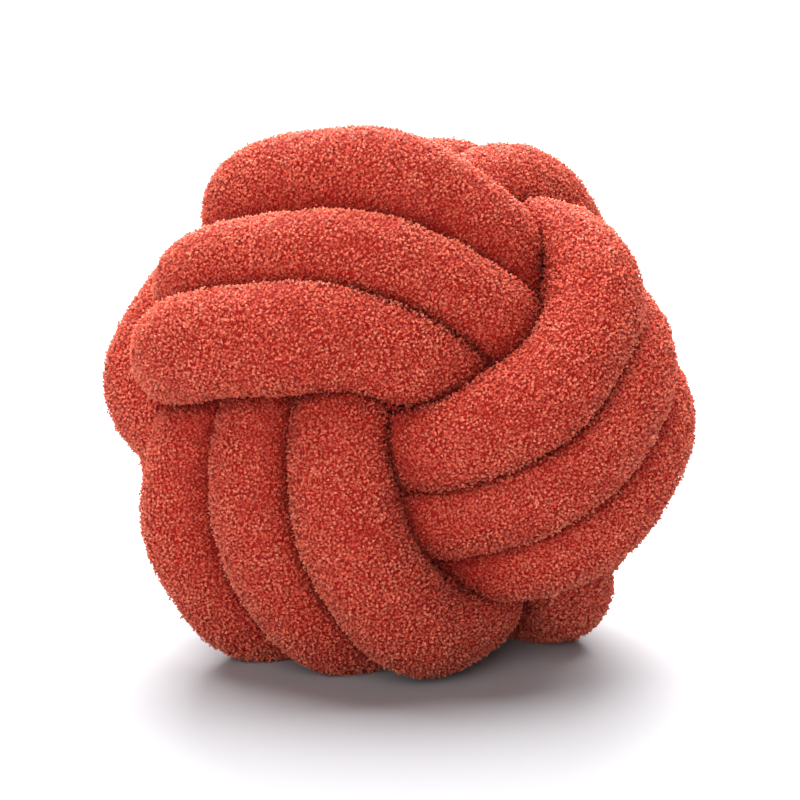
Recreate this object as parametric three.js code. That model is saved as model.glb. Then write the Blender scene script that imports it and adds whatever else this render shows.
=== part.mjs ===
import * as THREE from "three";
import { mergeVertices } from "three/addons/utils/BufferGeometryUtils.js";

// Knotted ball cushion. One long tube of curly fleece is stuffed with fibre, its two ends are
// sewn together, and the loop is tied as a ball knot: three bands of three turns each, every
// band at right angles to the other two. Millimetres, +Z up, with the origin on the floor
// under the middle of the ball.

const { degToRad, lerp, smoothstep } = THREE.MathUtils;

// The stuffed tube
const tubeRadius = 28; // to the tips of the pile, where nothing presses on it
const pileGap = 2.5; // left between strands that lie against each other
const pressSoftness = 6; // how gradually a strand flattens where it meets another
const pressRange = 2.4 * tubeRadius; // strands further off than this don't press
const tubeSections = 380;
const tubeSides = 12;
const seamReach = 1e-3; // points closer than this are the same point

// The knot: distances from the middle of the ball to the middle of the tube
const overReach = { middle: 122, side: 117 };
const underReach = { middle: 80, side: 66 };
const squareness = { middle: 2.5, side: 3 }; // 2 is a round turn, more is a squarer one
const laneSpacing = { over: 47, under: 40 };
const laneShiftSpan = 36; // degrees of a turn in which the tube moves on to its next lane
const stationStep = 7.5; // degrees between the points that guide the tube
const linkStart = 20; // degrees of a band's first and last turn that its links take up
const spineStep = 5; // between the points of the tube's middle line
const ownStretch = 60; // the tube doesn't press on its own next stretch, this long
const closestStrands = 28; // middle lines nearer than this push each other apart
const tighteningRounds = 24;
const pushShare = 0.25; // how much of the missing room one round makes
const pushSmoothing = 10; // how often a push is spread along the tube
const measuringSteps = 5000; // how finely the curves' lengths are measured

// How the ball stands: one of its corners faces forward, and its weight flattens it below
const cornerTurn = 31.7;
const tipBack = -9;
const yaw = -3;
const settle = 9; // how far its lowest strands are pressed flat

// A band goes over two faces of the ball and under the two beside them, and its three lanes
// lie side by side along the third axis.
const bands = [
  { name: "U", over: "x", under: "z", lanes: "y" },
  { name: "V", over: "y", under: "x", lanes: "z" },
  { name: "W", over: "z", under: "y", lanes: "x" },
];

// Where in a turn each pass has its middle, in degrees
const passMiddle = { back: 90, near: 180, front: 270, far: 360 };

// How the passes differ from an even knot. Lift is away from the middle of the ball, slide is
// along the lanes, skew slides the two halves of a pass opposite ways, and girth is added to
// the radius.
const passTable = [
  { band: "U", lane: 1, pass: "front", lift: 0, slide: 24, skew: 2, girth: 0 },
  { band: "U", lane: 0, pass: "front", lift: 0, slide: 27, skew: 4, girth: 0 },
  { band: "U", lane: -1, pass: "front", lift: 3, slide: 12, skew: 2, girth: 2 },
  { band: "U", lane: 1, pass: "near", lift: 10, slide: -4, skew: 0, girth: 0 },
  { band: "U", lane: 0, pass: "near", lift: 8, slide: -4, skew: 0, girth: 0 },
  { band: "U", lane: -1, pass: "near", lift: 6, slide: -4, skew: 0, girth: 0 },
  { band: "U", lane: 1, pass: "far", lift: -12, slide: -5, skew: 0, girth: 0 },
  { band: "U", lane: 0, pass: "far", lift: 0, slide: -4, skew: 0, girth: 0 },
  { band: "U", lane: -1, pass: "far", lift: 10, slide: -3, skew: 0, girth: 0 },
  { band: "U", lane: 1, pass: "back", lift: 2, slide: -26, skew: 0, girth: 0 },
  { band: "U", lane: 0, pass: "back", lift: 0, slide: -10, skew: 0, girth: 0 },
  { band: "U", lane: -1, pass: "back", lift: 0, slide: -4, skew: 0, girth: 0 },
  { band: "V", lane: -1, pass: "front", lift: 1, slide: -6, skew: 0, girth: 0 },
  { band: "V", lane: 1, pass: "far", lift: 10, slide: 0, skew: 0, girth: 0 },
  { band: "V", lane: 0, pass: "far", lift: -11, slide: 0, skew: 0, girth: 0 },
  { band: "V", lane: -1, pass: "far", lift: -15, slide: 0, skew: 0, girth: 0 },
  { band: "V", lane: 1, pass: "back", lift: 8, slide: -12, skew: 0, girth: 0 },
  { band: "V", lane: 0, pass: "back", lift: 9, slide: -3, skew: 0, girth: 0 },
  { band: "V", lane: -1, pass: "back", lift: 9, slide: 0, skew: 0, girth: 0 },
  { band: "W", lane: 1, pass: "front", lift: 2, slide: -18, skew: 0, girth: -1 },
  { band: "W", lane: 0, pass: "front", lift: 0, slide: -7, skew: 0, girth: 0 },
  { band: "W", lane: -1, pass: "front", lift: -4, slide: 0, skew: 0, girth: 0 },
  { band: "W", lane: 1, pass: "near", lift: 0, slide: 4, skew: 0, girth: 0 },
  { band: "W", lane: 0, pass: "near", lift: 0, slide: 8, skew: 0, girth: 0 },
  { band: "W", lane: -1, pass: "near", lift: 0, slide: 6, skew: 0, girth: 0 },
  { band: "W", lane: 1, pass: "far", lift: 8, slide: 0, skew: 0, girth: 0 },
  { band: "W", lane: 1, pass: "back", lift: -8, slide: 20, skew: 0, girth: 0 },
  { band: "W", lane: 0, pass: "back", lift: 0, slide: 14, skew: 0, girth: 0 },
  { band: "W", lane: -1, pass: "back", lift: 0, slide: 8, skew: 0, girth: 0 },
];

// Where the tube turns from one face of the ball to the next, and how far some of those turns
// stand out beyond an even knot
const cornerMiddle = { farBack: 45, backNear: 135, nearFront: 225, frontFar: 315 };
const cornerTable = [
  { band: "U", lane: 0, corner: "frontFar", standOut: 3 },
  { band: "U", lane: -1, corner: "frontFar", standOut: 5 },
  { band: "U", lane: 1, corner: "backNear", standOut: 7 },
  { band: "W", lane: 1, corner: "frontFar", standOut: 5 },
  { band: "W", lane: 1, corner: "backNear", standOut: 3 },
];

// From one band to the next the tube crosses the core of the ball, a little thinner there
const linkTable = [
  { over: -6, under: -44, lanes: 36, girth: -3 },
  { over: -44, under: -26, lanes: 10, girth: -3 },
];

// The slide that a pass's skew gives is largest at 30 degrees either side of its middle, and
// this makes that largest slide the value in the table.
const skewScale = 1 / (Math.cos(degToRad(30)) ** 2 * Math.sin(degToRad(60)));

function passChanges(bandName, degrees) {
  const sum = { lift: 0, slide: 0, girth: 0 };
  for (const row of passTable) {
    const offset = degrees - passMiddle[row.pass] - 360 * (row.lane + 1);
    if (row.band !== bandName || Math.abs(offset) >= 90) {
      continue;
    }
    const share = Math.cos(degToRad(offset)) ** 2;
    const swing = skewScale * Math.sin(degToRad(2 * offset));
    sum.lift += share * row.lift;
    sum.slide += share * (row.slide + swing * row.skew);
    sum.girth += share * row.girth;
  }
  return sum;
}

function cornerStandOut(bandName, degrees) {
  let standOut = 0;
  for (const row of cornerTable) {
    const offset = degrees - cornerMiddle[row.corner] - 360 * (row.lane + 1);
    if (row.band === bandName && Math.abs(offset) < 45) {
      standOut += row.standOut * Math.cos(degToRad(2 * offset)) ** 2;
    }
  }
  return standOut;
}

function laneAt(degrees) {
  const half = laneShiftSpan / 2;
  const firstShift = smoothstep(degrees, 360 - half, 360 + half);
  const secondShift = smoothstep(degrees, 720 - half, 720 + half);
  return -1 + firstShift + secondShift;
}

function squareTurn(value, power) {
  return Math.sign(value) * Math.abs(value) ** (2 / power);
}

// One guiding point of the tube, and what its girth changes by there
function bandStation(band, degrees) {
  const lane = laneAt(degrees);
  const side = Math.abs(lane);
  const power = lerp(squareness.middle, squareness.side, side);
  const overShare = Math.sin(degToRad(degrees)) ** 2;
  const change = passChanges(band.name, degrees);
  const standOut = cornerStandOut(band.name, degrees);
  const overEven = lerp(overReach.middle, overReach.side, side);
  const underEven = lerp(underReach.middle, underReach.side, side);
  const over = overEven + change.lift * overShare + standOut;
  const under = underEven + change.lift * (1 - overShare) + standOut;
  const spacing = lerp(laneSpacing.under, laneSpacing.over, overShare);
  const point = new THREE.Vector3();
  point[band.over] = -over * squareTurn(Math.sin(degToRad(degrees)), power);
  point[band.under] = -under * squareTurn(Math.cos(degToRad(degrees)), power);
  point[band.lanes] = lane * spacing + change.slide;
  return { point, girth: change.girth };
}

function linkStation(band, row) {
  const point = new THREE.Vector3();
  point[band.over] = row.over;
  point[band.under] = row.under;
  point[band.lanes] = row.lanes;
  return { point, girth: row.girth };
}

function knotStations() {
  const stations = [];
  const lastStation = 3 * 360 - linkStart;
  for (const band of bands) {
    for (let degrees = linkStart; degrees <= lastStation; degrees += stationStep) {
      stations.push(bandStation(band, degrees));
    }
    for (const row of linkTable) {
      stations.push(linkStation(band, row));
    }
  }
  return stations;
}

// The tube's middle line, as points evenly spaced along it with the free radius at each
function evenSpine(stations) {
  const curve = new THREE.CatmullRomCurve3(
    stations.map((station) => station.point),
    true,
    "centripetal",
  );
  curve.arcLengthDivisions = measuringSteps;
  const count = Math.round(curve.getLength() / spineStep);
  const spine = [];
  for (let k = 0; k < count; k += 1) {
    const place = curve.getUtoTmapping(k / count) * stations.length;
    const before = stations[Math.floor(place) % stations.length].girth;
    const after = stations[(Math.floor(place) + 1) % stations.length].girth;
    const radius = tubeRadius + lerp(before, after, place % 1);
    spine.push({ point: curve.getPointAt(k / count), radius });
  }
  return spine;
}

// The other strand's point that crowds this one most, if any does
function crowdingPoint(spine, index) {
  const ownSteps = ownStretch / spineStep;
  let nearest = closestStrands;
  let crowding = null;
  for (let k = 0; k < spine.length; k += 1) {
    const apart = Math.abs(k - index);
    if (Math.min(apart, spine.length - apart) > ownSteps) {
      const distance = spine[k].point.distanceTo(spine[index].point);
      if (distance < nearest) {
        nearest = distance;
        crowding = spine[k].point;
      }
    }
  }
  return crowding;
}

// Pulls the knot tight: each crowded point moves away from what crowds it, and the stretch
// of tube around it follows.
function tightenKnot(spine) {
  const count = spine.length;
  for (let round = 0; round < tighteningRounds; round += 1) {
    let pushes = spine.map((place, index) => {
      const crowding = crowdingPoint(spine, index);
      const push = new THREE.Vector3();
      if (crowding) {
        push.subVectors(place.point, crowding);
        push.setLength((closestStrands - push.length()) * pushShare);
      }
      return push;
    });
    for (let pass = 0; pass < pushSmoothing; pass += 1) {
      pushes = pushes.map((push, k) => {
        const sides = pushes[(k + 1) % count].clone().add(pushes[(k + count - 1) % count]);
        return sides.addScaledVector(push, 2).divideScalar(4);
      });
    }
    spine.forEach((place, k) => place.point.add(pushes[k]));
  }
}

const spine = evenSpine(knotStations());
tightenKnot(spine);
const spineCurve = new THREE.CatmullRomCurve3(
  spine.map((place) => place.point),
  true,
);
spineCurve.arcLengthDivisions = measuringSteps;

// The points of other strands that are near enough to press on the tube at this place
function pressingPoints(centre, place) {
  const ownSteps = ownStretch / spineStep;
  const near = [];
  spine.forEach((other, k) => {
    const apart = Math.abs(k - place);
    const offset = other.point.clone().sub(centre);
    const distance = offset.length();
    if (Math.min(apart, spine.length - apart) > ownSteps && distance < pressRange) {
      near.push({ offset, distance, radius: other.radius });
    }
  });
  return near;
}

// How far the tube reaches in one direction: its free radius, or less where it meets the
// plane midway to another strand, with a soft change from one to the other
function pressedRadius(direction, radius, near) {
  let limit = 2 * tubeRadius;
  for (const other of near) {
    const facing = direction.dot(other.offset);
    if (facing > 0) {
      const midway = (other.distance ** 2 + radius ** 2 - other.radius ** 2) / 2;
      limit = Math.min(limit, (midway - (pileGap / 2) * other.distance) / facing);
    }
  }
  const share = THREE.MathUtils.clamp(0.5 + (0.5 * (limit - radius)) / pressSoftness, 0, 1);
  const blended = lerp(limit, radius, share) - pressSoftness * share * (1 - share);
  return Math.min(blended, limit);
}

// The knot's own axes as they stand on the floor
function standingFrame() {
  const across = Math.sqrt(2 / 3);
  const forward = -1 / Math.sqrt(3);
  const axes = [0, 120, 240].map((spread) => {
    const angle = degToRad(90 + cornerTurn + spread);
    return new THREE.Vector3(across * Math.cos(angle), forward, across * Math.sin(angle));
  });
  const frame = new THREE.Matrix4().makeBasis(...axes);
  frame.premultiply(new THREE.Matrix4().makeRotationX(degToRad(tipBack)));
  frame.premultiply(new THREE.Matrix4().makeRotationZ(degToRad(yaw)));
  return frame;
}

// Stands the tube on the floor, flat where it touches, with the origin under its middle
function settleOnFloor(geometry) {
  const position = geometry.attributes.position;
  geometry.computeBoundingBox();
  const floor = geometry.boundingBox.min.z + settle;
  const centre = geometry.boundingBox.getCenter(new THREE.Vector3());
  for (let i = 0; i < position.count; i += 1) {
    const x = position.getX(i) - centre.x;
    const y = position.getY(i) - centre.y;
    const z = Math.max(position.getZ(i) - floor, 0);
    position.setXYZ(i, x, y, z);
  }
}

function knottedTube() {
  const geometry = new THREE.TubeGeometry(spineCurve, tubeSections, tubeRadius, tubeSides, true);
  const position = geometry.attributes.position;
  const direction = new THREE.Vector3();
  const sectionVertices = tubeSides + 1;
  for (let section = 0; section <= tubeSections; section += 1) {
    const fraction = (section % tubeSections) / tubeSections;
    const centre = spineCurve.getPointAt(fraction);
    const place = spineCurve.getUtoTmapping(fraction) * spine.length;
    const { radius } = spine[Math.round(place) % spine.length];
    const near = pressingPoints(centre, place);
    for (let side = 0; side < sectionVertices; side += 1) {
      const i = section * sectionVertices + side;
      direction.fromBufferAttribute(position, i).sub(centre).normalize();
      const reach = pressedRadius(direction, radius, near);
      const vertex = centre.clone().addScaledVector(direction, reach);
      position.setXYZ(i, vertex.x, vertex.y, vertex.z);
    }
  }
  geometry.deleteAttribute("normal");
  geometry.deleteAttribute("uv");
  geometry.applyMatrix4(standingFrame());
  settleOnFloor(geometry);
  return mergeVertices(geometry, seamReach);
}

const fleece = new THREE.MeshStandardMaterial({ color: 0xb8463a, roughness: 0.95, metalness: 0 });
const tube = new THREE.Mesh(knottedTube(), fleece);
tube.name = "knotted_tube";

const group = new THREE.Group();
group.add(tube);

export default group;
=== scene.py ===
import bmesh
import bpy
import numpy as np
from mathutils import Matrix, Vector, noise
from mathutils.bvhtree import BVHTree


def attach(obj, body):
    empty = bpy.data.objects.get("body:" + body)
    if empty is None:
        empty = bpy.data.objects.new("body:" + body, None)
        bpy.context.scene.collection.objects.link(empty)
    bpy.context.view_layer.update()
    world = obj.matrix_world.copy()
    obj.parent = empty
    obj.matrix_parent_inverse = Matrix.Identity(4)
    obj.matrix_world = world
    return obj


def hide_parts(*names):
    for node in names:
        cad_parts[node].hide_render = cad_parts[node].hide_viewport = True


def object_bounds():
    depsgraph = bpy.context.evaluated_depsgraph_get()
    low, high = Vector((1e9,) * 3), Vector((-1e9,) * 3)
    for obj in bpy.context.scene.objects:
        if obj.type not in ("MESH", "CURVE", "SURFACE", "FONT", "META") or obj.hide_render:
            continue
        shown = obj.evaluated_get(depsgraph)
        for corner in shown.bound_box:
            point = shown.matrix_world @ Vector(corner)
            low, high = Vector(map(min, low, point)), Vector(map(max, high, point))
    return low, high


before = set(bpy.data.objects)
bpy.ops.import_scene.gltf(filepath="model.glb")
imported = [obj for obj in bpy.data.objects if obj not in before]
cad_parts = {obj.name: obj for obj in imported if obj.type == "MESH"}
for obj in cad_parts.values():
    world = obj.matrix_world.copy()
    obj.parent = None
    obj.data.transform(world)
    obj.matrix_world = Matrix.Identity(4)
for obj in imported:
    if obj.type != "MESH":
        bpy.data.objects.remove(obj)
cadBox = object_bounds()
print("frame loaded")

mm = 0.001

# Knotted ball cushion: one long tube of curly fleece, stuffed, closed into a loop and tied as
# a ball of three bands. The knot is worked out in millimetres on its own axes, as the part's
# source does it, and then stood on the floor in metres.
knot = {
    "tubeRadius": 28,  # to the tips of the pile, where nothing presses on it
    "overReach": (122, 117),  # middle lane, side lanes
    "underReach": (80, 66),
    "squareness": (2.5, 3),
    "laneSpacing": (47, 40),  # over, under
    "bandSpan": 1080,  # degrees a band turns through: three times round the ball
    "laneShiftSpan": 36,  # degrees of a turn in which the tube moves on to its next lane
    # A skew slides a pass by its own value at most, which happens 30 degrees off the middle
    "skewScale": 1 / (np.cos(np.radians(30)) ** 2 * np.sin(np.radians(60))),
    "linkStart": 20,  # degrees of a band's first and last turn that its links take up
    "stationStep": 7.5,  # degrees between the points that guide the tube
    "curveParts": 8,  # how finely the curve runs between them
    "spineStep": 5,
    "ownStretch": 60,  # the tube doesn't press on its own next stretch, this long
    "closestStrands": 28,  # middle lines nearer than this push each other apart
    "tighteningRounds": 24,
    "pushShare": 0.25,  # how much of the missing room one round makes
    "pushSmoothing": 10,
    "pressRange": 2.4,  # in radii of the tube: strands further off don't press
    "pressSoftness": 6,  # how gradually a strand flattens where it meets another
    "farOff": 1e3,  # further than anything in the ball
    "leastFacing": 1e-6,
    "firstAcross": (0.3, 0.5, 0.8),  # any direction that isn't the tube's own at its start
}
stand = {"cornerTurn": 31.7, "tipBack": -9, "yaw": -3}

bandAxes = {"U": (0, 2, 1), "V": (1, 0, 2), "W": (2, 1, 0)}  # over, under, lanes
passMiddle = {"back": 90, "near": 180, "front": 270, "far": 360}
passTable = [  # band, lane, pass, lift, slide, skew, girth
    ("U", 1, "front", 0, 24, 2, 0),
    ("U", 0, "front", 0, 27, 4, 0),
    ("U", -1, "front", 3, 12, 2, 2),
    ("U", 1, "near", 10, -4, 0, 0),
    ("U", 0, "near", 8, -4, 0, 0),
    ("U", -1, "near", 6, -4, 0, 0),
    ("U", 1, "far", -12, -5, 0, 0),
    ("U", 0, "far", 0, -4, 0, 0),
    ("U", -1, "far", 10, -3, 0, 0),
    ("U", 1, "back", 2, -26, 0, 0),
    ("U", 0, "back", 0, -10, 0, 0),
    ("U", -1, "back", 0, -4, 0, 0),
    ("V", -1, "front", 1, -6, 0, 0),
    ("V", 1, "far", 10, 0, 0, 0),
    ("V", 0, "far", -11, 0, 0, 0),
    ("V", -1, "far", -15, 0, 0, 0),
    ("V", 1, "back", 8, -12, 0, 0),
    ("V", 0, "back", 9, -3, 0, 0),
    ("V", -1, "back", 9, 0, 0, 0),
    ("W", 1, "front", 2, -18, 0, -1),
    ("W", 0, "front", 0, -7, 0, 0),
    ("W", -1, "front", -4, 0, 0, 0),
    ("W", 1, "near", 0, 4, 0, 0),
    ("W", 0, "near", 0, 8, 0, 0),
    ("W", -1, "near", 0, 6, 0, 0),
    ("W", 1, "far", 8, 0, 0, 0),
    ("W", 1, "back", -8, 20, 0, 0),
    ("W", 0, "back", 0, 14, 0, 0),
    ("W", -1, "back", 0, 8, 0, 0),
]
cornerMiddle = {"farBack": 45, "backNear": 135, "nearFront": 225, "frontFar": 315}
cornerTable = [  # band, lane, corner, how far it stands out
    ("U", 0, "frontFar", 3),
    ("U", -1, "frontFar", 5),
    ("U", 1, "backNear", 7),
    ("W", 1, "frontFar", 5),
    ("W", 1, "backNear", 3),
]
linkTable = [(-6, -44, 36, -3), (-44, -26, 10, -3)]  # over, under, lanes, girth


def smoothStep(value, low, high):
    share = np.clip((value - low) / (high - low), 0, 1)
    return share * share * (3 - 2 * share)


def mix(first, second, share):
    return first + (second - first) * share


def squareTurn(value, power):
    return np.sign(value) * np.abs(value) ** (2 / power)


# How far the passes of one band differ from an even knot: lift, slide and girth
def passChanges(bandName, degrees):
    changes = np.zeros((3, len(degrees)))
    for band, lane, passName, lift, slide, skew, girth in passTable:
        if band != bandName:
            continue
        offset = degrees - passMiddle[passName] - 360 * (lane + 1)
        share = np.where(np.abs(offset) < 90, np.cos(np.radians(offset)) ** 2, 0)
        swing = knot["skewScale"] * np.sin(np.radians(2 * offset))
        changes += share * np.array([[lift], [slide], [girth]])
        changes[1] += share * swing * skew
    return changes


def cornerChanges(bandName, degrees):
    out = np.zeros(len(degrees))
    for band, lane, corner, standOut in cornerTable:
        offset = degrees - cornerMiddle[corner] - 360 * (lane + 1)
        share = np.where(np.abs(offset) < 45, np.cos(np.radians(2 * offset)) ** 2, 0)
        out += share * standOut * (band == bandName)
    return out


# The points that guide the tube, each with what the radius changes by there
def knotStations():
    half = knot["laneShiftSpan"] / 2
    last = knot["bandSpan"] - knot["linkStart"]
    degrees = np.arange(knot["linkStart"], last + 0.1, knot["stationStep"])
    turn = np.radians(degrees)
    lane = -1 + sum(smoothStep(degrees, shift - half, shift + half) for shift in (360, 720))
    side = np.abs(lane)
    power = mix(*knot["squareness"], side)
    overShare = np.sin(turn) ** 2
    stations = []
    for bandName, axes in bandAxes.items():
        lift, slide, girth = passChanges(bandName, degrees)
        out = cornerChanges(bandName, degrees)
        over = mix(*knot["overReach"], side) + lift * overShare + out
        under = mix(*knot["underReach"], side) + lift * (1 - overShare) + out
        spacing = mix(*knot["laneSpacing"][::-1], overShare)
        band = np.zeros((len(degrees), 4))
        band[:, axes[0]] = -over * squareTurn(np.sin(turn), power)
        band[:, axes[1]] = -under * squareTurn(np.cos(turn), power)
        band[:, axes[2]] = lane * spacing + slide
        band[:, 3] = girth
        links = np.zeros((len(linkTable), 4))
        links[:, [*axes, 3]] = linkTable
        stations += [band, links]
    return np.vstack(stations)


# A closed centripetal Catmull-Rom curve through the stations
def smoothLoop(stations):
    parts = knot["curveParts"]
    before, start, end, after = (np.roll(stations, shift, axis=0) for shift in (1, 0, -1, -2))

    def gap(first, second):
        return np.linalg.norm((second - first)[:, :3], axis=1)[:, None] ** 0.5

    gapBefore, gapHere, gapAfter = gap(before, start), gap(start, end), gap(end, after)
    leave = (start - before) / gapBefore - (end - before) / (gapBefore + gapHere)
    leave = leave * gapHere + end - start
    arrive = (after - end) / gapAfter - (after - start) / (gapHere + gapAfter)
    arrive = arrive * gapHere + end - start
    x = (np.arange(parts) / parts)[None, :, None]
    curve = start[:, None] * (2 * x**3 - 3 * x**2 + 1) + leave[:, None] * (x**3 - 2 * x**2 + x)
    curve = curve + end[:, None] * (3 * x**2 - 2 * x**3) + arrive[:, None] * (x**3 - x**2)
    return curve.reshape(-1, 4)


def loopLength(loop):
    return np.linalg.norm((np.roll(loop, -1, axis=0) - loop)[:, :3], axis=1).sum()


def evenly(loop, count):
    closed = np.vstack([loop, loop[:1]])
    steps = np.linalg.norm(np.diff(closed[:, :3], axis=0), axis=1)
    travelled = np.concatenate([[0], np.cumsum(steps)])
    stops = np.arange(count) / count * travelled[-1]
    return np.stack([np.interp(stops, travelled, column) for column in closed.T], axis=1)


def roundTrip(count, first, second):
    apart = np.abs(first - second)
    return np.minimum(apart, count - apart)


# Crowded points move away from what crowds them, and the tube around them follows
def tightenKnot(spine):
    points = spine[:, :3]
    count = len(points)
    index = np.arange(count)
    ownSteps = knot["ownStretch"] / knot["spineStep"]
    strangers = roundTrip(count, index[:, None], index[None]) > ownSteps
    for _ in range(knot["tighteningRounds"]):
        offset = points[:, None] - points[None]
        distance = np.where(strangers, np.linalg.norm(offset, axis=2), knot["farOff"])
        nearest = distance.argmin(axis=1)
        shortest = distance[index, nearest]
        lack = np.maximum(knot["closestStrands"] - shortest, 0) * knot["pushShare"]
        push = offset[index, nearest] * (lack / shortest)[:, None]
        for _ in range(knot["pushSmoothing"]):
            push = (np.roll(push, 1, axis=0) + np.roll(push, -1, axis=0) + 2 * push) / 4
        points = points + push
    return np.column_stack([points, spine[:, 3]])


# Directions across the tube that don't twist from one section to the next, and close
def crossDirections(points, sides):
    along = np.roll(points, -1, axis=0) - np.roll(points, 1, axis=0)
    along /= np.linalg.norm(along, axis=1)[:, None]
    across = np.zeros_like(points)
    carried = np.cross(along[0], knot["firstAcross"])
    for k, direction in enumerate(along):
        carried = carried - direction * (carried @ direction)
        carried /= np.linalg.norm(carried)
        across[k] = carried
    carried = carried - along[0] * (carried @ along[0])
    twist = np.arctan2(np.cross(across[0], carried) @ along[0], across[0] @ carried)
    angles = np.arange(sides) / sides * 2 * np.pi
    angles = angles[None] - (twist * np.arange(len(points)) / len(points))[:, None]
    upright = np.cross(along, across)
    cosines, sines = np.cos(angles)[..., None], np.sin(angles)[..., None]
    return across[:, None] * cosines + upright[:, None] * sines


# The tube's sections: each reaches to its free radius, or less where it meets the plane midway
# to another strand, with a soft change from one to the other
def pressedSections(spine, count, sides, sink, gap):
    centres = evenly(spine, count)
    directions = crossDirections(centres[:, :3], sides)
    radii = knot["tubeRadius"] + spine[:, 3]
    places = np.arange(len(spine)) / len(spine)
    ownShare = knot["ownStretch"] / knot["spineStep"] / len(spine)
    reach = np.zeros((count, sides))
    for k, (centre, directionsHere) in enumerate(zip(centres, directions)):
        offset = spine[:, :3] - centre[:3]
        distance = np.linalg.norm(offset, axis=1)
        stranger = roundTrip(1, places, k / count) > ownShare
        near = stranger & (distance < knot["pressRange"] * knot["tubeRadius"])
        radius = knot["tubeRadius"] + centre[3]
        limit = np.full(sides, 2.0 * radius)
        if near.any():
            midway = (distance[near] ** 2 + radius**2 - radii[near] ** 2) / 2
            facing = directionsHere @ offset[near].T
            planes = (midway - gap / 2 * distance[near]) / np.maximum(facing, knot["leastFacing"])
            planes = np.where(facing > knot["leastFacing"], planes, knot["farOff"])
            limit = np.minimum(limit, planes.min(axis=1))
        free = radius - sink
        share = np.clip(0.5 + 0.5 * (limit - free) / knot["pressSoftness"], 0, 1)
        blended = mix(limit, free, share) - knot["pressSoftness"] * share * (1 - share)
        reach[k] = np.minimum(blended, limit)
    return centres, directions, reach


# The knot's own axes as they stand on the floor
def standingAxes():
    spread = np.radians(90 + stand["cornerTurn"] + np.array([0, 120, 240]))
    across = np.sqrt(2 / 3)
    axes = np.array([across * np.cos(spread), np.full(3, -1 / np.sqrt(3)), across * np.sin(spread)])
    tip, yaw = np.radians([stand["tipBack"], stand["yaw"]])
    tipping = np.array([[1, 0, 0], [0, np.cos(tip), -np.sin(tip)], [0, np.sin(tip), np.cos(tip)]])
    turning = np.array([[np.cos(yaw), -np.sin(yaw), 0], [np.sin(yaw), np.cos(yaw), 0], [0, 0, 1]])
    return turning @ tipping @ axes


# The sewn tube under its pile
cover = {
    "sectionStep": 6.0,
    "sides": 36,
    "pileHeight": 2.6,  # the skin lies this far under the tips of the pile
    "pressedGap": 3.6,  # between the skins of strands that lie against each other
    "unevenness": ((60, 0.9), (22, 0.5)),  # size and depth of the filling's lumps
    "floorGap": 0.4,
    "closeWithin": 1e-7,  # in metres: joins the rolled sheet's first and last rows
    "unwrapRows": 6,  # the tube's length is unwrapped as this many strips
}


def unevenness(points):
    depth = np.zeros(len(points))
    for size, height in cover["unevenness"]:
        depth += [height * noise.noise(Vector(point) / size) for point in points]
    return depth


# The skin's sections, in metres and standing on the floor where the CAD solid stands
def settledSections():
    loop = smoothLoop(knotStations())
    spine = tightenKnot(evenly(loop, round(loopLength(loop) / knot["spineStep"])))
    rows = cover["unwrapRows"]
    count = round(loopLength(spine) / cover["sectionStep"] / rows) * rows
    centres, directions, reach = pressedSections(
        spine, count, cover["sides"], cover["pileHeight"], cover["pressedGap"]
    )
    skin = centres[:, None, :3] + directions * reach[..., None]
    lumps = unevenness(skin.reshape(-1, 3)).reshape(reach.shape)
    tips = (skin + directions * cover["pileHeight"]).reshape(-1, 3) @ standingAxes().T
    low, high = tips.min(axis=0) * mm, tips.max(axis=0) * mm
    middle = (low + high) / 2
    lift = np.array([-middle[0], -middle[1], cadBox[1].z - high[2]])
    skin = (skin + directions * lumps[..., None]) @ standingAxes().T * mm + lift
    skin[..., 2] = np.maximum(skin[..., 2], cover["floorGap"] * mm)
    return skin


# How open each part of the skin lies: the share of the ways out that nothing blocks
def openShares(skin):
    sections, sides = skin.shape[:2]
    index = np.arange(sections * sides).reshape(sections, sides)
    onward = np.roll(index, -1, axis=0)
    corners = [index, onward, np.roll(onward, -1, axis=1), np.roll(index, -1, axis=1)]
    faces = np.stack(corners, axis=-1).reshape(-1, 4)
    tree = BVHTree.FromPolygons(skin.reshape(-1, 3).tolist(), faces.tolist())
    steps = np.stack(np.meshgrid(*[(-1, 0, 1)] * 3), axis=-1).reshape(-1, 3)
    ways = [Vector(step).normalized() for step in steps if any(step)]
    middles = skin.mean(axis=1)
    shares = np.zeros((sections // pile["openSections"], sides // pile["openSides"]))
    for row, section in enumerate(range(0, sections, pile["openSections"])):
        for column, side in enumerate(range(0, sides, pile["openSides"])):
            outward = Vector(skin[section, side] - middles[section]).normalized()
            start = Vector(skin[section, side]) + outward * pile["openLift"] * mm
            tried = [way for way in ways if way.dot(outward) > pile["leastOutward"]]
            shares[row, column] = np.mean([tree.ray_cast(start, way)[0] is None for way in tried])
    shares = shares.repeat(pile["openSections"], axis=0).repeat(pile["openSides"], axis=1)
    for axis in (0, 0, 1):  # evened out along the tube and around it
        shares = (np.roll(shares, 1, axis) + np.roll(shares, -1, axis) + shares) / 3
    return shares


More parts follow.
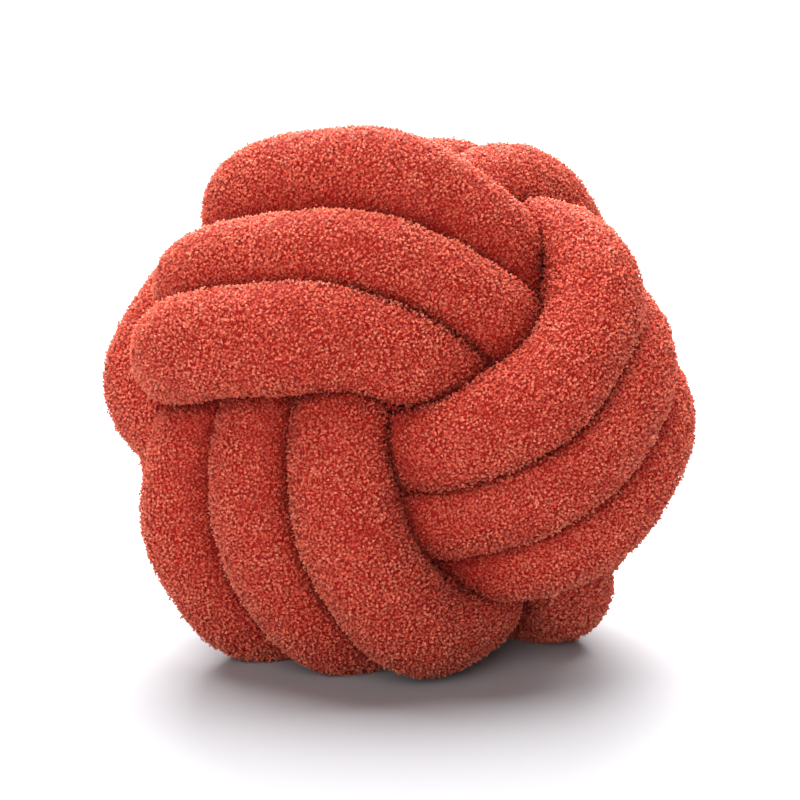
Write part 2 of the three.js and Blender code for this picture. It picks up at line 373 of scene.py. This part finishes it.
def makeCover():
    skin = settledSections()
    sections, sides = skin.shape[:2]
    shares = openShares(skin)
    rows = cover["unwrapRows"]
    sheet = bmesh.new()
    unwrap = sheet.loops.layers.uv.new("OFBake")
    openLayer = sheet.verts.layers.float.new("open")
    alongLayer = sheet.verts.layers.float.new("along")
    bmesh.ops.create_grid(sheet, x_segments=sections, y_segments=sides, size=1)
    for face in sheet.faces:
        row = int((face.calc_center_median().x + 1) / 2 * rows)
        for corner in face.loops:
            along, around = (corner.vert.co.xy + Vector((1, 1))) / 2
            corner[unwrap].uv = (along * rows - row, (row + around) / rows)
    for vertex in sheet.verts:
        along, around = (vertex.co.xy + Vector((1, 1))) / 2
        place = round(along * sections) % sections, round(around * sides) % sides
        vertex[openLayer] = shares[place]
        vertex[alongLayer] = place[0] / sections
        vertex.co = skin[place]
    bmesh.ops.remove_doubles(sheet, verts=sheet.verts, dist=cover["closeWithin"])
    bmesh.ops.recalc_face_normals(sheet, faces=sheet.faces)
    for face in sheet.faces:
        face.smooth = True
    return addPiece("fleece_tube", sheet)


def addPiece(name, sheet):
    mesh = bpy.data.meshes.new(name)
    sheet.to_mesh(mesh)
    sheet.free()
    piece = bpy.data.objects.new(name, mesh)
    bpy.context.collection.objects.link(piece)
    return piece


# Adds a node to a tree, with its settings, and its inputs set or linked
def addNode(tree, kind, settings=None, inputs=None):
    node = tree.nodes.new(kind)
    for name, value in (settings or {}).items():
        setattr(node, name, value)
    for name, value in (inputs or {}).items():
        if isinstance(value, bpy.types.NodeSocket):
            tree.links.new(value, node.inputs[name])
        else:
            node.inputs[name].default_value = value
    return node


# The curly pile in two layers: short curls close to the knitted ground, and longer loops that
# stand over them, wherever the tube can be seen
pile = {
    "leastOpen": 0.05,  # no curls where less than this share of the ways out is free
    "openSections": 3,  # openness is tried at every third section and second side
    "openSides": 2,
    "openLift": 3,  # tried from this far over the skin
    "leastOutward": 0.1,  # the least cosine between a way that is tried and the way out
    "tuftSize": 4.5,  # curls cling together in tufts about this wide
    "tuftHeight": 1.6,
    "tuftPaintedLight": 0.5,  # how much paler the high tufts and darker the low ones are painted: painted highlight and shade
    "tuftStep": 0.3,  # between the places that a tuft's slope is measured at
    "shadeSpread": (-0.35, 0.35),  # from one curl to the next
    "tilt": 0.3,  # how far a curl leans off the way out of its tuft
    "softness": 0.5,  # how far a curl is shaded as the whole surface faces, as loose fibres are
    "creaseShadeOpen": (0.15, 0.85),  # between these the painted crease shade goes from full, where the pile is shut in, to none, where it is open
    "creaseShadeRise": 0.15,  # the share of their paleness that shut in curls keep under the painted crease shade
    "pressedOpen": (0.05, 0.35),
    "pressedRise": 1.8,  # where strands press together their piles mesh
    "pieces": 3,  # each layer is this many meshes, one after another along the tube
    "triesPerSpacing": 4,  # roots tried in a square as wide as the spacing
    "bakePole": 0.99,  # a curl's corners beyond this are its two ends
    "bakeFill": (0.7, 0.42),  # how much of its square of the map a curl takes, across and up
}
groundCurls = {
    "name": "fleece_curls",
    "seed": 11,
    "spacing": 1.75,  # least distance between two, in millimetres
    "rings": 2,
    "halfLength": (0.9, 1.4),
    "halfWidth": (0.8, 1.15),
    "halfHeight": (0.75, 1.0),
    "arch": (0.3, 0.8),  # how far a curl's middle stands off its ends
    "bow": (-0.4, 0.4),  # how far it bends sideways
    "rootHeight": 0.35,  # how far its ends stand over the skin
    "rise": (0.0, 0.7),  # from the root's painted shade to the tip's colour, at a curl's foot and top
}
loopCurls = {
    "name": "fleece_loops",
    "seed": 23,
    "spacing": 1.9,
    "rings": 2,
    "halfLength": (0.8, 1.3),
    "halfWidth": (0.6, 0.85),
    "halfHeight": (0.5, 0.75),
    "arch": (0.6, 1.1),
    "bow": (-0.7, 0.7),
    "rootHeight": 0.9,
    "rise": (0.3, 1.0),
}


# Where the curls are rooted, with the way out there, the place along the tube and the openness
def scatterRoots(tube, curls):
    tree = bpy.data.node_groups.new("rootScatter", "GeometryNodeTree")
    for direction in ("INPUT", "OUTPUT"):
        tree.interface.new_socket("Geometry", in_out=direction, socket_type="NodeSocketGeometry")
    source = addNode(tree, "NodeGroupInput")
    openness = addNode(tree, "GeometryNodeInputNamedAttribute", inputs={"Name": "open"})
    seen = addNode(
        tree,
        "FunctionNodeCompare",
        {"operation": "GREATER_THAN"},
        {"A": openness.outputs["Attribute"], "B": pile["leastOpen"]},
    )
    scatter = addNode(
        tree,
        "GeometryNodeDistributePointsOnFaces",
        {"distribute_method": "POISSON"},
        {
            "Mesh": source.outputs["Geometry"],
            "Selection": seen.outputs["Result"],
            "Distance Min": curls["spacing"] * mm,
            "Density Max": pile["triesPerSpacing"] / (curls["spacing"] * mm) ** 2,
            "Seed": curls["seed"],
        },
    )
    stored = addNode(
        tree,
        "GeometryNodeStoreNamedAttribute",
        {"data_type": "FLOAT_VECTOR"},
        {
            "Geometry": scatter.outputs["Points"],
            "Name": "outward",
            "Value": scatter.outputs["Normal"],
        },
    )
    roots = addNode(
        tree, "GeometryNodePointsToVertices", inputs={"Points": stored.outputs["Geometry"]}
    )
    addNode(tree, "NodeGroupOutput", inputs={"Geometry": roots.outputs["Mesh"]})
    modifier = tube.modifiers.new("scatter", "NODES")
    modifier.node_group = tree
    scattered = tube.evaluated_get(bpy.context.evaluated_depsgraph_get()).to_mesh()
    places = valuesOf(scattered.vertices, "co", 3)
    outward = valuesOf(scattered.attributes["outward"].data, "vector", 3)
    along = valuesOf(scattered.attributes["along"].data, "value", 1)[:, 0]
    openHere = valuesOf(scattered.attributes["open"].data, "value", 1)
    tube.modifiers.remove(modifier)
    bpy.data.node_groups.remove(tree)
    return places, outward, along, openHere


def valuesOf(items, name, width):
    values = np.empty(len(items) * width, np.float32)
    items.foreach_get(name, values)
    return values.reshape(-1, width)


# The plain grain of a few triangles that every curl of a layer is bent from
def grainShape(rings):
    grain = bmesh.new()
    bmesh.ops.create_uvsphere(grain, u_segments=3, v_segments=rings, radius=1)
    bmesh.ops.triangulate(grain, faces=grain.faces)
    bmesh.ops.recalc_face_normals(grain, faces=grain.faces)
    corners = np.array([vertex.co for vertex in grain.verts])
    faces = np.array([[vertex.index for vertex in face.verts] for face in grain.faces])
    grain.free()
    return corners, faces


def crossed(first, second):
    product = np.cross(first, second)
    return product / np.linalg.norm(product, axis=1)[:, None]


# How much the pile stands out or sinks in its tufts, and the way out from their slopes
def tuftsAt(places, outward):
    def heights(spots):
        return np.array([noise.noise(Vector(spot)) for spot in spots / (pile["tuftSize"] * mm)])

    tuft = heights(places)
    step = pile["tuftStep"] * mm
    slope = np.stack([heights(places + step * axis) - tuft for axis in np.eye(3)], axis=1) / step
    slope -= outward * (slope * outward).sum(axis=1)[:, None]
    facing = outward - slope * pile["tuftHeight"] * mm
    return tuft[:, None], facing / np.linalg.norm(facing, axis=1)[:, None]


# The curls on some of the roots, bent, tilted and turned each its own way, as one joined mesh
def makeCurls(name, curls, places, outward, openHere, dice):
    corners, faces = grainShape(curls["rings"])
    count = len(places)
    tuft, outward = tuftsAt(places, outward)

    def pick(bounds):
        return dice.uniform(*bounds, count)[:, None]

    along, wide, high = corners[None, :, 2], corners[None, :, 1], corners[None, :, 0]
    x = along * pick(curls["halfLength"])
    y = wide * pick(curls["halfWidth"]) + pick(curls["bow"]) * (along**2 - 0.5)
    z = high * pick(curls["halfHeight"]) + pick(curls["arch"]) * (1 - along**2)
    lowest, highest = z.min(axis=1)[:, None], z.max(axis=1)[:, None]
    # Painted shade and highlight: a curl's colour runs from the dark root at its foot to its pale top
    rise = mix(*curls["rise"], (z - lowest) / (highest - lowest))
    # Painted shade and highlight by tufts: low tufts are painted darker, high ones paler
    rise = np.clip(rise + tuft * pile["tuftPaintedLight"], 0, 1)
    # Painted shade in creases: where little of the way out is open, the curls keep less of their
    # paleness
    rise = rise * mix(pile["creaseShadeRise"], 1, smoothStep(openHere, *pile["creaseShadeOpen"]))
    pressed = 1 - smoothStep(openHere, *pile["pressedOpen"])
    z = z + curls["rootHeight"] + tuft * pile["tuftHeight"] + pressed * pile["pressedRise"]
    lean = outward + dice.normal(0, pile["tilt"], (count, 3))
    lean /= np.linalg.norm(lean, axis=1)[:, None]
    heading = crossed(lean, dice.normal(0, 1, (count, 3)))
    side = crossed(heading, lean)
    points = places[:, None] + mm * (
        x[..., None] * heading[:, None]
        + y[..., None] * side[:, None]
        + z[..., None] * lean[:, None]
    )
    points[..., 2] = np.maximum(points[..., 2], 0)
    mesh = bpy.data.meshes.new(name)
    joined = faces[None] + (np.arange(count) * len(corners))[:, None, None]
    mesh.from_pydata(points.reshape(-1, 3), [], joined.reshape(-1, 3))
    mesh.shade_smooth()
    facing = valuesOf(mesh.vertex_normals, "vector", 3)
    facing = mix(facing, np.repeat(outward, len(corners), axis=0), pile["softness"])
    mesh.normals_split_custom_set_from_vertices(facing)
    # Partly painted shade: curls on low tufts are painted darker and on high tufts paler, over a tone
    # that differs at random from curl to curl
    shade = 0.5 + tuft[:, 0] + dice.uniform(*pile["shadeSpread"], count)
    shade = np.repeat(np.clip(shade, 0, 1), len(corners))
    for label, values in (("shade", shade), ("rise", rise.ravel())):
        attribute = mesh.attributes.new(label, "FLOAT", "POINT")
        attribute.data.foreach_set("value", values.astype(np.float32))
    unwrapCurls(mesh, corners, faces, count)
    piece = bpy.data.objects.new(name, mesh)
    bpy.context.collection.objects.link(piece)
    return piece


# Gives each curl its own square of the map, with its length up and its girth across
def unwrapCurls(mesh, corners, faces, count):
    turn = np.arctan2(corners[faces, 1], corners[faces, 0]) / (2 * np.pi)
    pole = np.abs(corners[faces, 2]) > pile["bakePole"]
    middle = corners[faces].mean(axis=1)
    facing = np.arctan2(middle[:, 1], middle[:, 0])[:, None] / (2 * np.pi)
    turn = np.where(pole, facing, turn + np.round(facing - turn))
    across, up = pile["bakeFill"]
    flat = np.stack([0.5 + turn * across, 0.5 + corners[faces, 2] * up], axis=-1).reshape(-1, 2)
    columns = int(np.ceil(np.sqrt(count)))
    cell = np.stack([np.arange(count) % columns, np.arange(count) // columns], axis=-1)
    spots = (cell[:, None] + flat[None]) / columns
    unwrap = mesh.uv_layers.new(name="OFBake")
    unwrap.uv.foreach_set("vector", spots.astype(np.float32).ravel())


def linearColour(code):
    channels = np.array([int(code[k : k + 2], 16) for k in (1, 3, 5)]) / 255
    linear = np.where(channels <= 0.04045, channels / 12.92, ((channels + 0.055) / 1.055) ** 2.4)
    return (*linear.tolist(), 1.0)


# The colour sockets of a Mix node, which share their names with its other sockets
mixFactor, mixFrom, mixTo, mixResult = 0, 6, 7, 2


def newMaterial(name):
    material = bpy.data.materials.new(name)
    material.use_nodes = True
    material.node_tree.nodes.clear()
    return material, material.node_tree


# Boucle fleece: polyester yarn knitted with a pile of small tight curls. Light soaks into the
# fibres and comes out around them, so it is matt and soft. Its colour paints coral curls with pale
# tips, which is painted highlight, deep red between them and at their feet, which is painted shade, and
# a faint bloom where the surface turns away.
fleece = {
    # root: painted shade, the deep red at the curls' feet and between the yarn's turns
    "root": "#981913",
    "dark": "#c03e30",
    "light": "#da6650",
    # tip: painted highlight, the pale colour of the curls' tops
    "tip": "#f8bc98",
    "paintedHighlightFrom": 0.65,  # the share of the pile's height where the painted highlight on the tips starts
    "paintedHighlightShare": 0.3,  # how far the tips turn to the pale colour of the painted highlight
    "edge": "#ffac8e",
    "roughness": 0.6,
    "specular": 0.08,
    "scatter": 0.6,
    "scatterReach": 2.5,
    "scatterColours": (1.0, 0.3, 0.2),  # red light gets furthest through the fibres
    "sheen": 0.15,
    "sheenRoughness": 0.4,
    "yarnPitch": 2.2,  # between neighbouring turns of the curled yarn
    "yarnWander": 0.8,
    "yarnDetail": 0.5,
    "yarnWidth": 0.09,  # as a share of the noise's whole range
    "yarnDepth": 0.2,
    "yarnShare": 0.35,  # what the yarn's turns add to a curl's height
    "curlDepth": 0.6,  # the root's painted shade ends at this share of the height
    "groundDepth": 1.0,
    "patchSize": 30,
    "patchDetail": 2.0,
    "patchShare": 0.5,  # how much of the colour's change is in patches, and from curl to curl
    "shadeShare": 0.5,
}


def fleeceMaterial(name, ofCurls):
    material, tree = newMaterial(name)
    place = addNode(tree, "ShaderNodeTexCoord").outputs["Object"]
    patches = addNode(
        tree,
        "ShaderNodeTexNoise",
        inputs={
            "Vector": place,
            "Scale": 1 / (fleece["patchSize"] * mm),
            "Detail": fleece["patchDetail"],
        },
    ).outputs["Fac"]
    wander = addNode(
        tree,
        "ShaderNodeTexNoise",
        inputs={
            "Vector": place,
            "Scale": 1 / (fleece["yarnPitch"] * mm),
            "Detail": fleece["yarnDetail"],
            "Distortion": fleece["yarnWander"],
        },
    ).outputs["Fac"]
    # The yarn runs where the noise crosses its middle value, as thin wandering lines
    offMiddle = addNode(tree, "ShaderNodeMath", {"operation": "SUBTRACT"}, {0: wander, 1: 0.5})
    distance = addNode(tree, "ShaderNodeMath", {"operation": "ABSOLUTE"}, {0: offMiddle.outputs[0]})
    yarn = addNode(
        tree,
        "ShaderNodeMapRange",
        {"interpolation_type": "SMOOTHSTEP"},
        {
            "Value": distance.outputs[0],
            "From Min": 0.0,
            "From Max": fleece["yarnWidth"],
            "To Min": 1.0,
            "To Max": 0.0,
        },
    ).outputs["Result"]
    if ofCurls:
        shade = addNode(tree, "ShaderNodeAttribute", {"attribute_name": "shade"}).outputs["Fac"]
        rise = addNode(tree, "ShaderNodeAttribute", {"attribute_name": "rise"}).outputs["Fac"]
        lift = addNode(
            tree,
            "ShaderNodeMath",
            {"operation": "MULTIPLY_ADD"},
            {0: yarn, 1: fleece["yarnShare"], 2: rise},
        ).outputs[0]
    else:
        shade = patches
        lift = yarn
    inPatches = addNode(
        tree, "ShaderNodeMath", {"operation": "MULTIPLY"}, {0: patches, 1: fleece["patchShare"]}
    )
    blend = addNode(
        tree,
        "ShaderNodeMath",
        {"operation": "MULTIPLY_ADD"},
        {0: shade, 1: fleece["shadeShare"], 2: inPatches.outputs[0]},
    )
    tips = addNode(
        tree,
        "ShaderNodeMix",
        {"data_type": "RGBA"},
        {
            mixFactor: blend.outputs[0],
            mixFrom: linearColour(fleece["dark"]),
            mixTo: linearColour(fleece["light"]),
        },
    ).outputs[mixResult]
    if ofCurls:
        # Painted highlight: the highest part of each curl is painted a pale colour
        paintedHighlight = addNode(
            tree,
            "ShaderNodeMapRange",
            inputs={
                "Value": rise,
                "From Min": fleece["paintedHighlightFrom"],
                "From Max": 1.0,
                "To Max": fleece["paintedHighlightShare"],
            },
        )
        tips = addNode(
            tree,
            "ShaderNodeMix",
            {"data_type": "RGBA"},
            {
                mixFactor: paintedHighlight.outputs["Result"],
                mixFrom: tips,
                mixTo: linearColour(fleece["tip"]),
            },
        ).outputs[mixResult]
    # Painted shade: low parts of the pile and the gaps between the yarn's turns take the deep root
    # colour
    depth = addNode(
        tree,
        "ShaderNodeMapRange",
        {"interpolation_type": "SMOOTHSTEP"},
        {"Value": lift, "From Min": 0.0, "From Max": fleece["curlDepth" if ofCurls else "groundDepth"]},
    )
    colour = addNode(
        tree,
        "ShaderNodeMix",
        {"data_type": "RGBA"},
        {mixFactor: depth.outputs["Result"], mixFrom: linearColour(fleece["root"]), mixTo: tips},
    )
    bump = addNode(
        tree,
        "ShaderNodeBump",
        inputs={"Height": yarn, "Distance": fleece["yarnDepth"] * mm, "Strength": 1.0},
    )
    surface = addNode(
        tree,
        "ShaderNodeBsdfPrincipled",
        {"subsurface_method": "BURLEY"},
        {
            "Base Color": colour.outputs[mixResult],
            "Roughness": fleece["roughness"],
            "Specular IOR Level": fleece["specular"],
            "Subsurface Weight": fleece["scatter"],
            "Subsurface Radius": fleece["scatterColours"],
            "Subsurface Scale": fleece["scatterReach"] * mm,
            "Sheen Weight": fleece["sheen"],
            "Sheen Roughness": fleece["sheenRoughness"],
            "Sheen Tint": linearColour(fleece["edge"]),
            "Normal": bump.outputs["Normal"],
        },
    )
    addNode(tree, "ShaderNodeOutputMaterial", inputs={"Surface": surface.outputs[0]})
    return material


tube = makeCover()
tube.data.materials.append(fleeceMaterial("boucleFleeceGround", False))
print("tube rolled")
curlMaterial = fleeceMaterial("boucleFleecePile", True)
piles = []
for curls in (groundCurls, loopCurls):
    places, outward, along, openHere = scatterRoots(tube, curls)
    dice = np.random.default_rng(curls["seed"])
    for part in range(pile["pieces"]):
        here = (along * pile["pieces"]).astype(int) == part
        piece = makeCurls(
            f"{curls['name']}_{part + 1}", curls, places[here], outward[here], openHere[here], dice
        )
        piece.data.materials.append(curlMaterial)
        piles.append(piece)
    print(curls["name"], len(places))
for piece in (tube, *piles):
    print(piece.name, sum(len(face.vertices) - 2 for face in piece.data.polygons))
    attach(piece, "root")
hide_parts("knotted_tube")


# The room: a pale floor under soft light from above and behind
room = {
    "floorSize": 60,
    "floor": "#b1b1b4",
    "floorRoughness": 0.8,
    "floorSpecular": 0.2,
    "world": 0.06,
    "lamps": {  # strength, spread in degrees, where the light comes from
        "key": (8.4, 80, (-0.05, 0.5, 1.0)),
        "rim": (4.7, 32, (0.0, 0.9, 0.55)),
        "fill": (3.15, 60, (-0.25, -1.0, 0.25)),
    },
    "cameraDistance": 1.5,
    "cameraElevation": 9,
    "lookAt": (0.002, -0.002, 0.128),
    "fieldWidth": 0.41,
    "sensorWidth": 36,  # of a full-frame camera
    "sightEnd": 100,
}


def makeRoom():
    bpy.ops.mesh.primitive_plane_add(size=room["floorSize"])
    floor = bpy.context.object
    floor.name = "floor"
    material, tree = newMaterial("paintedFloor")
    surface = addNode(
        tree,
        "ShaderNodeBsdfPrincipled",
        inputs={
            "Base Color": linearColour(room["floor"]),
            "Roughness": room["floorRoughness"],
            "Specular IOR Level": room["floorSpecular"],
        },
    )
    addNode(tree, "ShaderNodeOutputMaterial", inputs={"Surface": surface.outputs[0]})
    floor.data.materials.append(material)

    world = bpy.data.worlds.new("softWhite")
    bpy.context.scene.world = world
    world.use_nodes = True
    world.node_tree.nodes["Background"].inputs["Strength"].default_value = room["world"]
    world.node_tree.nodes["Background"].inputs["Color"].default_value = (1, 1, 1, 1)

    for name, (strength, spread, comesFrom) in room["lamps"].items():
        light = bpy.data.lights.new(name, "SUN")
        light.energy = strength
        light.angle = np.radians(spread)
        lamp = bpy.data.objects.new(name, light)
        lamp.rotation_euler = Vector(comesFrom).to_track_quat("Z", "Y").to_euler()
        bpy.context.collection.objects.link(lamp)

    camera = bpy.data.cameras.new("camera")
    camera.sensor_width = room["sensorWidth"]
    camera.lens = room["sensorWidth"] / room["fieldWidth"] * room["cameraDistance"]
    cameraObject = bpy.data.objects.new("camera", camera)
    elevation = np.radians(room["cameraElevation"])
    back = Vector((0, -np.cos(elevation), np.sin(elevation)))
    cameraObject.location = Vector(room["lookAt"]) + back * room["cameraDistance"]
    cameraObject.rotation_euler = back.to_track_quat("Z", "Y").to_euler()
    camera.clip_end = room["sightEnd"]
    bpy.context.collection.objects.link(cameraObject)
    bpy.context.scene.camera = cameraObject
    bpy.context.scene.view_settings.view_transform = "Standard"


makeRoom()
print("room made")
